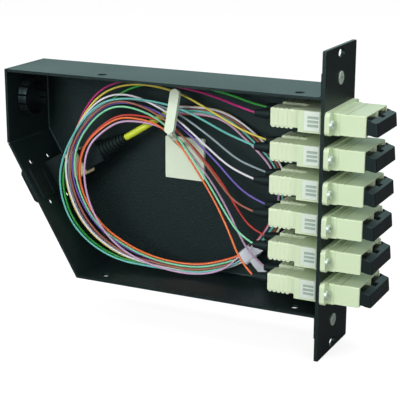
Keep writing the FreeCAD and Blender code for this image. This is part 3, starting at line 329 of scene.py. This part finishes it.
# Each tube, in millimetres: the end of its boot, the points from there to the clip, and its
# row and its distance inwards at each station.
TUBES = {
    "rose": ((-32.4, -6.35, 35.15),
             ((-39.9, -5.6, 36.6), (-49.6, -2.2, 38.4), (-61.0, 2.6, 39.6), (-77.8, 7.2, 40.4)),
             (2,) * 18,
             (0.4, 0.0, 1.0, 4.7, 5.9, 4.7, 2.4, 2.2, 2.2, 2.4, 2.4,
              4.9, 4.0, 4.0, 4.4, 3.0, 2.6, 2.4)),
    "green": ((-32.4, 6.35, 35.15),
              ((-39.4, 6.5, 36.0), (-49.0, 7.0, 38.6), (-61.5, 8.0, 40.4), (-78.4, 9.4, 41.8)),
              (3, 3, 3, 2.4) + (2,) * 14,
              (4.4, 7.8, 0.8, 0.2, 0.0, 0.0, 0.6, 0.9, 1.0, 1.2, 1.2,
               1.8, 1.5, 1.5, 1.6, 1.4, 1.4, 1.2)),
    "turquoise": ((-32.4, -6.35, 21.09),
                  ((-39.7, -5.6, 23.0), (-48.6, -2.8, 24.8), (-61.5, 1.4, 28.7),
                   (-77.0, 5.2, 32.4)),
                  (-1.3,) * 6 + (-1,) * 12,
                  (8.2, 5.2, 1.0, 1.2, 1.1, 1.0, 1.0, 0.9, 0.9, 1.6, 1.6,
                   3.6, 2.8, 2.8, 3.2, 2.0, 1.8, 1.6)),
    "yellow": ((-32.4, 6.35, 21.09),
               ((-38.6, 6.6, 22.4), (-47.2, 7.0, 25.2), (-61.5, 7.8, 31.8), (-78.2, 8.8, 38.5)),
               (1,) * 18,
               (2.2, 2.2, 0.8, 3.5, 5.0, 3.6, 1.0, 0.6, 0.6, 0.5, 0.5,
                1.2, 0.9, 0.9, 1.1, 0.5, 0.4, 0.4)),
    "white": ((-32.4, -6.35, 7.03),
              ((-39.4, -5.7, 8.8), (-48.0, -3.0, 11.6), (-60.0, 2.0, 17.6), (-78.0, 6.4, 28.4)),
              (0,) * 18,
              (6.0, 3.6, 0.8, 4.7, 6.3, 5.0, 1.3, 0.6, 0.6, 0.4, 0.4,
               0.6, 0.4, 0.4, 0.4, 0.4, 0.4, 0.4)),
    "slate": ((-32.4, 6.35, 7.03),
              ((-39.0, 6.6, 8.6), (-47.4, 7.0, 11.4), (-60.6, 7.8, 20.2), (-78.4, 8.6, 29.8)),
              (1,) * 18,
              (8.6, 5.6, 2.0, 5.0, 6.2, 4.8, 2.2, 1.8, 1.8, 1.6, 1.6,
               3.0, 2.4, 2.4, 2.7, 1.6, 1.5, 1.4)),
    "brown": ((-32.4, -6.35, -7.03),
              ((-39.4, -5.7, -5.4), (-47.0, -3.0, -1.2), (-58.0, 1.6, 8.2), (-78.2, 6.4, 24.8)),
              (0,) * 18,
              (9.2, 6.9, 2.6, 7.0, 9.0, 6.6, 2.6, 1.8, 1.8, 1.5, 1.5,
               2.3, 1.8, 1.8, 2.1, 1.5, 1.5, 1.4)),
    "violet": ((-32.4, 6.35, -7.03),
               ((-38.8, 6.6, -5.2), (-46.6, 7.0, -0.6), (-58.6, 7.8, 10.6), (-78.6, 8.6, 26.0)),
               (1,) * 18,
               (10.2, 7.2, 3.2, 7.5, 11.2, 9.4, 3.4, 3.0, 3.0, 2.7, 2.7,
                4.8, 3.9, 3.9, 4.3, 2.7, 2.6, 2.4)),
    "mint": ((-32.4, -6.35, -21.09),
             ((-39.2, -5.7, -18.4), (-46.8, -3.0, -11.0), (-57.6, 1.6, 0.8), (-78.4, 6.4, 23.4)),
             (0,) * 18,
             (11.6, 8.9, 4.9, 10.0, 12.6, 11.2, 3.9, 3.0, 3.0, 2.6, 2.6,
              4.1, 3.3, 3.3, 3.8, 2.6, 2.6, 2.4)),
    "red": ((-32.4, 6.35, -21.09),
            ((-39.0, 6.6, -19.0), (-45.4, 7.0, -12.2), (-56.0, 7.8, 3.0), (-78.8, 8.6, 23.6)),
            (1,) * 18,
            (15.8, 14.0, 8.0, 9.8, 13.2, 11.2, 4.6, 4.2, 4.2, 3.8, 3.8,
             6.6, 5.4, 5.4, 5.9, 4.4, 3.7, 3.4)),
    "orange": ((-32.4, -6.35, -35.15),
               ((-38.8, -5.7, -30.2), (-45.8, -3.0, -17.4), (-56.6, 1.9, -3.4), (-79.0, 6.8, 22.0)),
               (0,) * 18,
               (16.8, 15.0, 9.0, 11.2, 14.6, 12.8, 5.2, 4.2, 4.2, 3.7, 3.7,
                5.9, 4.8, 4.8, 5.5, 3.7, 3.7, 3.4)),
    "lilac": ((-32.4, 6.35, -35.15),
              ((-38.6, 6.4, -31.6), (-44.6, 6.4, -22.6), (-51.8, 7.0, -9.6), (-63.0, 7.8, 4.8),
               (-79.8, 8.6, 21.4)),
              (-0.8, -1.6) + (-2.2,) * 7 + (-1.4,) + (-1.6,) * 8,
              (18.2, 17.0, 12.4, 15.4, 15.6, 9.6, 1.8, 0.4, 0.4, 3.8, 3.3,
               5.6, 4.4, 4.4, 5.0, 3.3, 2.9, 2.7)),
}

# Each jacket's two tones.
TUBE_COLOURS = {
    "rose": ((190, 42, 124), (172, 34, 112)), "green": ((58, 186, 70), (48, 170, 60)),
    "turquoise": ((110, 198, 190), (96, 184, 176)), "yellow": ((230, 214, 84), (216, 200, 72)),
    "white": ((232, 230, 238), (220, 218, 228)), "slate": ((150, 170, 176), (136, 156, 164)),
    "brown": ((166, 98, 78), (150, 86, 68)), "violet": ((116, 98, 190), (102, 86, 176)),
    "mint": ((132, 216, 170), (118, 202, 156)), "red": ((196, 54, 46), (180, 46, 40)),
    "orange": ((240, 122, 62), (226, 110, 52)), "lilac": ((206, 172, 206), (192, 158, 194)),
}


def soft_line(name, points, radius, material):
    """Round cord on a smooth line with these control points, all in millimetres."""
    curve = bpy.data.curves.new(name, "CURVE")
    curve.dimensions = "3D"
    spline = curve.splines.new("NURBS")
    spline.points.add(len(points) - 1)
    for control, place in zip(spline.points, points):
        control.co = (*[value / 1000.0 for value in place], 1.0)
    spline.order_u = 3
    spline.use_endpoint_u = True
    spline.resolution_u = 10
    curve.bevel_depth = radius / 1000.0
    curve.bevel_resolution = 3
    curve.use_fill_caps = True
    curve.materials.append(material)
    cord = bpy.data.objects.new(name, curve)
    bpy.context.scene.collection.objects.link(cord)
    return cord


TUBE_RADIUS = 0.45
for colour, (boot, lead, layers, insets) in TUBES.items():
    route = [boot, *lead]
    for (x, y, z, towards, pitch), layer, inset in zip(LOOP, layers, insets):
        angle = math.radians(towards)
        route.append((x + inset * math.cos(angle), y + layer * pitch,
                      z + inset * math.sin(angle)))
    first, second = TUBE_COLOURS[colour]
    jacket = finish_of("tube_" + colour, tone(*first), tone(*second), 0.36, grain=900.0,
                       patches=140.0, bump=0.04, coat=0.1)
    tube = soft_line("tube_" + colour, route, TUBE_RADIUS, jacket)
    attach(tube, "cassette")
    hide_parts("fibre_" + colour)


# ---- Trunk cable ----
# A 3 mm round cable with a lime green jacket, from the ribbed boot to behind the clip arm,
# where it breaks out into the tubes.

# Top and foot of the slanted wall as X and Z, the port's distance down it and its Y, and how
# far in from the port the boot ends and the cable begins to bend, in millimetres.
WALL_TOP = (-148.4, 12.9)
WALL_FOOT = (-114.1, -45.8)
PORT_DOWN, PORT_Y = 22.2, 6.0
BOOT_END, FIRST_BEND = 43.0, 46.5
TRUNK_RADIUS = 1.5

# The cable leaves the boot square to the wall.
lean_in = math.atan2(WALL_FOOT[0] - WALL_TOP[0], WALL_TOP[1] - WALL_FOOT[1])
trunk_axis = [(WALL_TOP[0] + PORT_DOWN * math.sin(lean_in) + inwards * math.cos(lean_in), PORT_Y,
               WALL_TOP[1] - PORT_DOWN * math.cos(lean_in) + inwards * math.sin(lean_in))
              for inwards in (BOOT_END, FIRST_BEND)]
lime = finish_of("lime_jacket", tone(204, 220, 54), tone(190, 206, 46), 0.40, grain=1200.0,
                 patches=120.0, bump=0.06)
trunk = soft_line("trunk_jacket",
                  (*trunk_axis, (-92.6, 8.0, 20.2), (-86.6, 10.2, 24.0), (-81.0, 12.0, 28.0)),
                  TRUNK_RADIUS, lime)
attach(trunk, "cassette")
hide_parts("trunk_cable")


# ---- Multi-fibre plug, its adapter, caps and blanks ----
# Black and cream PBT mouldings: the plug's housing with its sprung coupling sleeve, the
# adapter clipped in the slanted wall with a cap outside, a blank in the spare cut-out and a
# snap-in plug in the left wall's hole.

moulded_black = finish_of("moulded_black", tone(19, 24, 26), tone(14, 18, 20), 0.42,
                          swing=0.12, grain=2200.0, patches=130.0, bump=0.12, tint=cool_gloss)
dress(moulded_black, "trunk_adapter", "trunk_cap", "blank_plug", "trunk_plug_housing",
      "hole_plug")
dress(boot_rubber, "trunk_plug_boot")
cream = finish_of("cream_moulding", tone(232, 222, 178), tone(222, 210, 166), 0.44, grain=2200.0,
                  patches=130.0, bump=0.12)
dress(cream, "trunk_plug_sleeve")


# ---- Cable clip ----
# One off-white nylon moulding on a 19 mm adhesive base, with a round-ended arm that
# springs aside to let a tube in.

nylon = finish_of("off_white_nylon", tone(222, 236, 214), tone(212, 226, 203), 0.46, grain=2000.0,
                  patches=160.0, bump=0.10, specular=0.4)


def lean_arm(mesh, off_base, foot, lean, low, middle, shrink):
    """Lean the clip's arm towards the panel and shorten it a little.

    Where Y is less than off_base, X grows by lean times the height over foot. Of that, what
    is above low has its height over the arm's middle multiplied by shrink.
    """
    place = np.empty(len(mesh.vertices) * 3)
    mesh.vertices.foreach_get("co", place)
    place = place.reshape(-1, 3)
    free = place[:, 1] < off_base
    arm = free & (place[:, 2] > low)
    place[arm, 2] = middle + (place[arm, 2] - middle) * shrink
    place[free, 0] += lean * (place[free, 2] - foot)
    mesh.vertices.foreach_set("co", place.ravel())
    mesh.update()


def weld(mesh, distance):
    """Join the vertices of a mesh that lie closer together than distance."""
    joined = bmesh.new()
    joined.from_mesh(mesh)
    bmesh.ops.remove_doubles(joined, verts=joined.verts, dist=distance)
    joined.to_mesh(mesh)
    joined.free()


clip_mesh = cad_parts["cable_clip"].data.copy()
clip_mesh.name = "clip_moulding"
lean_arm(clip_mesh, off_base=0.0140, foot=0.0035, lean=0.062, low=0.0180, middle=0.0336,
         shrink=0.914)
weld(clip_mesh, 2e-6)
clip = bpy.data.objects.new("clip_moulding", clip_mesh)
bpy.context.scene.collection.objects.link(clip)
clip.data.materials.clear()
clip.data.materials.append(nylon)
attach(clip, "cassette")
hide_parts("cable_clip")


# ---- Tape round the bundle ----
# A strip of clear polypropylene film wound round the tubes and stuck to itself. One tail
# hangs down in front of them and the other stands out along the bundle, both crinkled.

tape = finish_of("clear_film", tone(232, 236, 242), tone(206, 212, 222), 0.24, swing=0.12,
                 grain=500.0, patches=420.0, bump=0.35, height=0.00025, coat=0.25)
tape.node_tree.nodes["Principled BSDF"].inputs["Alpha"].default_value = 0.88

# Middle of the wound part, its half width across the tubes, up and along them, and how far
# in front of it the tails start, in millimetres. The bundle rises by the tilt towards +X.
TAPE_CENTRE = (-42.5, 12.95, -32.5)
TAPE_ACROSS, TAPE_UP, TAPE_ALONG = 3.16, 3.36, 3.5
TAIL_LEVEL = 3.12
TAPE_TILT = math.radians(44.0)


def wound_film():
    """Flattened ring swept along the bundle: a squared circle whose size ripples.

    Turn u goes once round and v runs along the tubes. Width and height follow the square
    root of cosine and sine, less a small ripple of both parameters.
    """
    u, v = np.meshgrid(np.linspace(0, 2 * np.pi, 97), np.linspace(-1, 1, 25), indexing="ij")
    ripple = 1 - 0.022 * (1 + np.sin(5 * u + 4 * v) * np.cos(3 * v + u))
    across = TAPE_ACROSS * np.sign(np.cos(u)) * np.sqrt(np.abs(np.cos(u))) * ripple
    up = TAPE_UP * np.sign(np.sin(u)) * np.sqrt(np.abs(np.sin(u))) * ripple
    return TAPE_ALONG * v + 0.12 * np.sin(2 * u), across, up


def loose_film(corners, swell, curl):
    """Four-cornered tail blended between its corners, standing out in front of the bundle.

    The height over the flat is a bulge of swell along the middle, a curl that grows with
    the square of the distance from the root, and a fine crinkle.
    """
    u, v = np.meshgrid(np.linspace(0, 1, 29), np.linspace(0, 1, 29), indexing="ij")
    (ax, az), (bx, bz), (cx, cz), (dx, dz) = corners
    along = (1 - u) * (1 - v) * ax + u * (1 - v) * bx + u * v * cx + (1 - u) * v * dx
    up = (1 - u) * (1 - v) * az + u * (1 - v) * bz + u * v * cz + (1 - u) * v * dz
    crinkle = 0.05 * np.sin(9 * u + 5 * v) * v
    out = TAIL_LEVEL + swell * np.sin(np.pi * u) * v + curl * v ** 2 + crinkle
    return along, -out, up


def film_mesh(name, sheets):
    """One mesh from grids of (along, across, up), turned by the bundle's tilt about +Y."""
    places, faces, first = [], [], 0
    for along, across, up in sheets:
        x = TAPE_CENTRE[0] + along * math.cos(TAPE_TILT) - up * math.sin(TAPE_TILT)
        z = TAPE_CENTRE[2] + along * math.sin(TAPE_TILT) + up * math.cos(TAPE_TILT)
        places.append(np.stack([x, TAPE_CENTRE[1] + across, z], axis=-1).reshape(-1, 3) / 1000.0)
        index = first + np.arange(along.size).reshape(along.shape)
        faces.append(np.stack([index[:-1, :-1], index[1:, :-1], index[1:, 1:], index[:-1, 1:]],
                              axis=-1).reshape(-1, 4))
        first += along.size
    mesh = bpy.data.meshes.new(name)
    mesh.from_pydata(np.concatenate(places).tolist(), [], np.concatenate(faces).tolist())
    weld(mesh, 1e-7)
    mesh.polygons.foreach_set("use_smooth", [True] * len(mesh.polygons))
    return mesh


film = bpy.data.objects.new("tape_film", film_mesh("tape_film", (
    wound_film(),
    loose_film(((-0.6, -2.8), (3.0, -2.8), (4.0, -11.4), (-1.0, -9.6)), swell=0.35, curl=-0.5),
    loose_film(((3.0, 2.7), (3.0, -2.6), (8.4, -3.0), (6.6, 0.6)), swell=0.3, curl=-0.3))))
film.data.materials.append(tape)
bpy.context.scene.collection.objects.link(film)
thick = film.modifiers.new("film_thickness", "SOLIDIFY")
thick.thickness = 0.00012
thick.offset = 0.0
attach(film, "cassette")
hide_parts("bundle_wrap")


# ---- Floor, light and camera ----
# A plain white studio: pale floor, a large soft lamp on the left, a weaker one on the
# right and one overhead.

def stage_material(name, colour, dim_colour, glow, sheen):
    """Diffuse floor with a glow that only the camera sees.

    Reflections see dim_colour and sheen in place of colour and glow.
    """
    material = bpy.data.materials.new(name)
    material.use_nodes = True
    nodes, links = material.node_tree.nodes, material.node_tree.links
    nodes.clear()
    result = nodes.new("ShaderNodeOutputMaterial")
    matt = nodes.new("ShaderNodeBsdfDiffuse")
    bare = nodes.new("ShaderNodeMix")
    bare.data_type = "RGBA"
    bare.inputs[6].default_value = colour
    bare.inputs[7].default_value = dim_colour
    light = nodes.new("ShaderNodeEmission")
    path = nodes.new("ShaderNodeLightPath")
    seen = nodes.new("ShaderNodeMath")
    seen.operation = "MULTIPLY"
    seen.inputs[1].default_value = glow
    level = nodes.new("ShaderNodeMath")
    level.operation = "MULTIPLY_ADD"
    level.inputs[1].default_value = sheen
    both = nodes.new("ShaderNodeAddShader")
    links.new(path.outputs["Is Glossy Ray"], bare.inputs[0])
    links.new(bare.outputs[2], matt.inputs["Color"])
    links.new(path.outputs["Is Camera Ray"], seen.inputs[0])
    links.new(path.outputs["Is Glossy Ray"], level.inputs[0])
    links.new(seen.outputs[0], level.inputs[2])
    links.new(level.outputs[0], light.inputs["Strength"])
    links.new(matt.outputs[0], both.inputs[0])
    links.new(light.outputs[0], both.inputs[1])
    links.new(both.outputs[0], result.inputs["Surface"])
    return material


# The floor reaches 6 m each way and lies half a millimetre under the object.
reach = 6.0
ground = cad_box[0][2] - 0.0005
floor_mesh = bpy.data.meshes.new("floor")
floor_mesh.from_pydata([(-reach, -reach, ground), (reach, -reach, ground),
                        (reach, reach, ground), (-reach, reach, ground)], [], [(0, 1, 2, 3)])
floor = bpy.data.objects.new("floor", floor_mesh)
floor_mesh.materials.append(stage_material(
    "pale_floor", colour=(0.3, 0.3, 0.3, 1.0), dim_colour=(0.05, 0.05, 0.05, 1.0),
    glow=0.84, sheen=0.05))
bpy.context.scene.collection.objects.link(floor)

# The room is plain white to the camera and one soft level to matt surfaces. Reflections see
# it tinted: bright behind the tray's rear end, dark behind the panel and dim in front.
FRONT_LEVEL, MATT_LEVEL, CAMERA_LEVEL = 0.3, 0.38, 1.0
world = bpy.data.worlds.new("studio")
bpy.context.scene.world = world
world.use_nodes = True
tree = world.node_tree
tree.nodes.clear()
sky = tree.nodes.new("ShaderNodeBackground")
hue = tree.nodes.new("ShaderNodeMix")
hue.data_type = "RGBA"
hue.inputs[6].default_value = (1, 1, 1, 1)
hue.inputs[7].default_value = (0.70, 1.0, 0.98, 1)
direction = tree.nodes.new("ShaderNodeTexCoord")
split = tree.nodes.new("ShaderNodeSeparateXYZ")
side = tree.nodes.new("ShaderNodeMapRange")
behind = tree.nodes.new("ShaderNodeMapRange")
room = tree.nodes.new("ShaderNodeMix")
path = tree.nodes.new("ShaderNodeLightPath")
plain = tree.nodes.new("ShaderNodeMath")
plain.operation = "SUBTRACT"
plain.inputs[0].default_value = 1.0
diffuse = tree.nodes.new("ShaderNodeMix")
camera_white = tree.nodes.new("ShaderNodeMix")
for socket, value in (("From Min", -0.3), ("From Max", 0.35), ("To Min", 1.0), ("To Max", 0.05)):
    side.inputs[socket].default_value = value
for socket, value in (("From Min", -0.2), ("From Max", 0.3), ("To Min", 0.0), ("To Max", 1.0)):
    behind.inputs[socket].default_value = value
room.inputs[2].default_value = FRONT_LEVEL
diffuse.inputs[3].default_value = MATT_LEVEL
camera_white.inputs[3].default_value = CAMERA_LEVEL
result = tree.nodes.new("ShaderNodeOutputWorld")
tree.links.new(path.outputs["Is Glossy Ray"], hue.inputs[0])
tree.links.new(hue.outputs[2], sky.inputs["Color"])
tree.links.new(direction.outputs["Generated"], split.inputs[0])
tree.links.new(split.outputs["X"], side.inputs["Value"])
tree.links.new(split.outputs["Y"], behind.inputs["Value"])
tree.links.new(behind.outputs["Result"], room.inputs[0])
tree.links.new(side.outputs["Result"], room.inputs[3])
tree.links.new(path.outputs["Is Glossy Ray"], plain.inputs[1])
tree.links.new(plain.outputs[0], diffuse.inputs[0])
tree.links.new(room.outputs[0], diffuse.inputs[2])
tree.links.new(path.outputs["Is Camera Ray"], camera_white.inputs[0])
tree.links.new(diffuse.outputs[0], camera_white.inputs[2])
tree.links.new(camera_white.outputs[0], sky.inputs["Strength"])
tree.links.new(sky.outputs[0], result.inputs["Surface"])


def aimed(name, data, place, target):
    """Object at place that looks at target."""
    item = bpy.data.objects.new(name, data)
    bpy.context.scene.collection.objects.link(item)
    away = np.array(place) - np.array(target)
    across = np.hypot(away[0], away[1])
    item.location = place
    item.rotation_euler = (math.atan2(across, away[2]), 0.0, math.atan2(away[0], -away[1]))
    return item


TRAY_MIDDLE = (-0.06, 0.0, 0.0)


def soft_lamp(name, place, size, power):
    """Square lamp of this width in metres and power in watts, aimed at the tray's middle."""
    lamp = bpy.data.lights.new(name, "AREA")
    lamp.size = size
    lamp.energy = power
    return aimed(name, lamp, place, TRAY_MIDDLE)


soft_lamp("key_lamp", (-0.30, -1.00, 0.42), size=0.6, power=8.0)
soft_lamp("fill_lamp", (0.70, -0.80, 0.25), size=0.6, power=3.2)
soft_lamp("top_lamp", (0.25, 0.0, 1.0), size=0.5, power=4.5)

# The lens is 3.16 times as long as the frame is wide, and the camera stands about
# 0.54 m from the tray's middle.
view = bpy.data.cameras.new("camera")
view.sensor_width = 36.0
view.lens = 3.15875 * view.sensor_width
view.shift_x = 0.0348
view.shift_y = 0.0210
view.clip_start = 0.01
bpy.context.scene.camera = aimed("camera", view, (0.167864, -0.472828, 0.140304),
                                 (-0.1343, 0.1347, -0.0550))
bpy.context.scene.view_settings.view_transform = "Standard"
